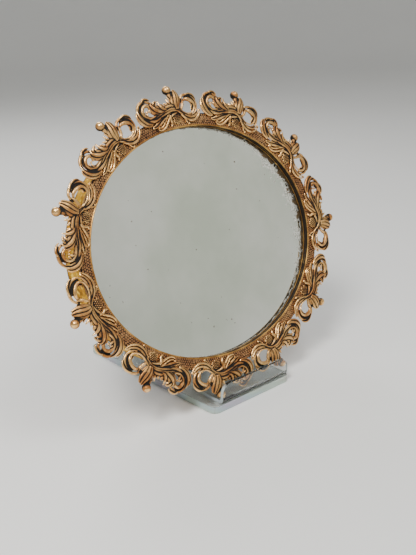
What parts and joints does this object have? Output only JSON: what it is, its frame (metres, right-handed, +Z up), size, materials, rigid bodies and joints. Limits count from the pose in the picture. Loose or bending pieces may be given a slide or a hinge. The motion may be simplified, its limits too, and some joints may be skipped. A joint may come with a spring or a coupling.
{
  "type": "countertop mirror",
  "caption": "Oval mirror in an openwork scroll-cast gilt frame with a shallow drum back, leaning in a clear lipped easel stand; the mirror lifts off.",
  "frame": {"origin": "middle of the base plate, on the surface it rests on", "axes": "+Z up, -Y the side the mirror faces, +X to the right of someone looking at the mirror"},
  "size_m": [0.3104, 0.18, 0.2622],
  "materials": {
    "gilt_scroll": "aged gilt casting, bright on the ridges and dark in the hollows",
    "gilt_band": "ring-matted gilt, dull",
    "gilt_lip": "worn bright gilt",
    "gilt_drum": "rough yellow gold paint",
    "silvered_glass": "silvered glass, worn along one edge",
    "pad_paper": "matt",
    "backing_card": "matt",
    "core_wood": "unfinished softwood",
    "cover_card": "brown hardboard",
    "screw_steel": "plain, slightly tarnished",
    "button_brass": "plain stamped brass",
    "clear_base": "clear acrylic with polished edges",
    "clear_sheet": "clear acrylic sheet, bent, polished edges"
  },
  "bodies": {
    "stand": {"base_plate": "clear_base", "cradle_sheet": "clear_sheet", "rear_prop": "clear_sheet"},
    "mirror": {"scroll_unit_01": "gilt_scroll", "scroll_unit_02": "gilt_scroll", "scroll_unit_03": "gilt_scroll", "scroll_unit_04": "gilt_scroll", "scroll_unit_05": "gilt_scroll", "scroll_unit_06": "gilt_scroll", "scroll_unit_07": "gilt_scroll", "scroll_unit_08": "gilt_scroll", "scroll_unit_09": "gilt_scroll", "scroll_unit_10": "gilt_scroll", "scroll_unit_11": "gilt_scroll", "matted_band": "gilt_band", "inner_lip": "gilt_lip", "drum_wall": "gilt_drum", "mirror_glass": "silvered_glass", "glass_pad": "pad_paper", "backing_board": "backing_card", "core_ring": "core_wood", "back_cover": "cover_card", "button_screws": "screw_steel"},
    "turn_button_1": {"turn_button_1": "button_brass"},
    "turn_button_2": {"turn_button_2": "button_brass"},
    "turn_button_3": {"turn_button_3": "button_brass"},
    "turn_button_4": {"turn_button_4": "button_brass"}
  },
  "joints": [
    {"name": "mirror_lift", "type": "slide", "parent": "stand", "child": "mirror", "axis": [0, 0.3223, 0.9466], "range_m": [0, 0.2]},
    {"name": "button_turn_1", "type": "hinge", "parent": "mirror", "child": "turn_button_1", "pos_m": [0.07619, 0.00786, 0.19344], "axis": [0, -0.9466, 0.3223], "range_deg": [-90, 90]},
    {"name": "button_turn_2", "type": "hinge", "parent": "mirror", "child": "turn_button_2", "pos_m": [0.07619, -0.03825, 0.058], "axis": [0, -0.9466, 0.3223], "range_deg": [-90, 90]},
    {"name": "button_turn_3", "type": "hinge", "parent": "mirror", "child": "turn_button_3", "pos_m": [-0.08419, -0.03825, 0.058], "axis": [0, -0.9466, 0.3223], "range_deg": [-90, 90]},
    {"name": "button_turn_4", "type": "hinge", "parent": "mirror", "child": "turn_button_4", "pos_m": [-0.08419, 0.00786, 0.19344], "axis": [0, -0.9466, 0.3223], "range_deg": [-90, 90]}
  ]
}
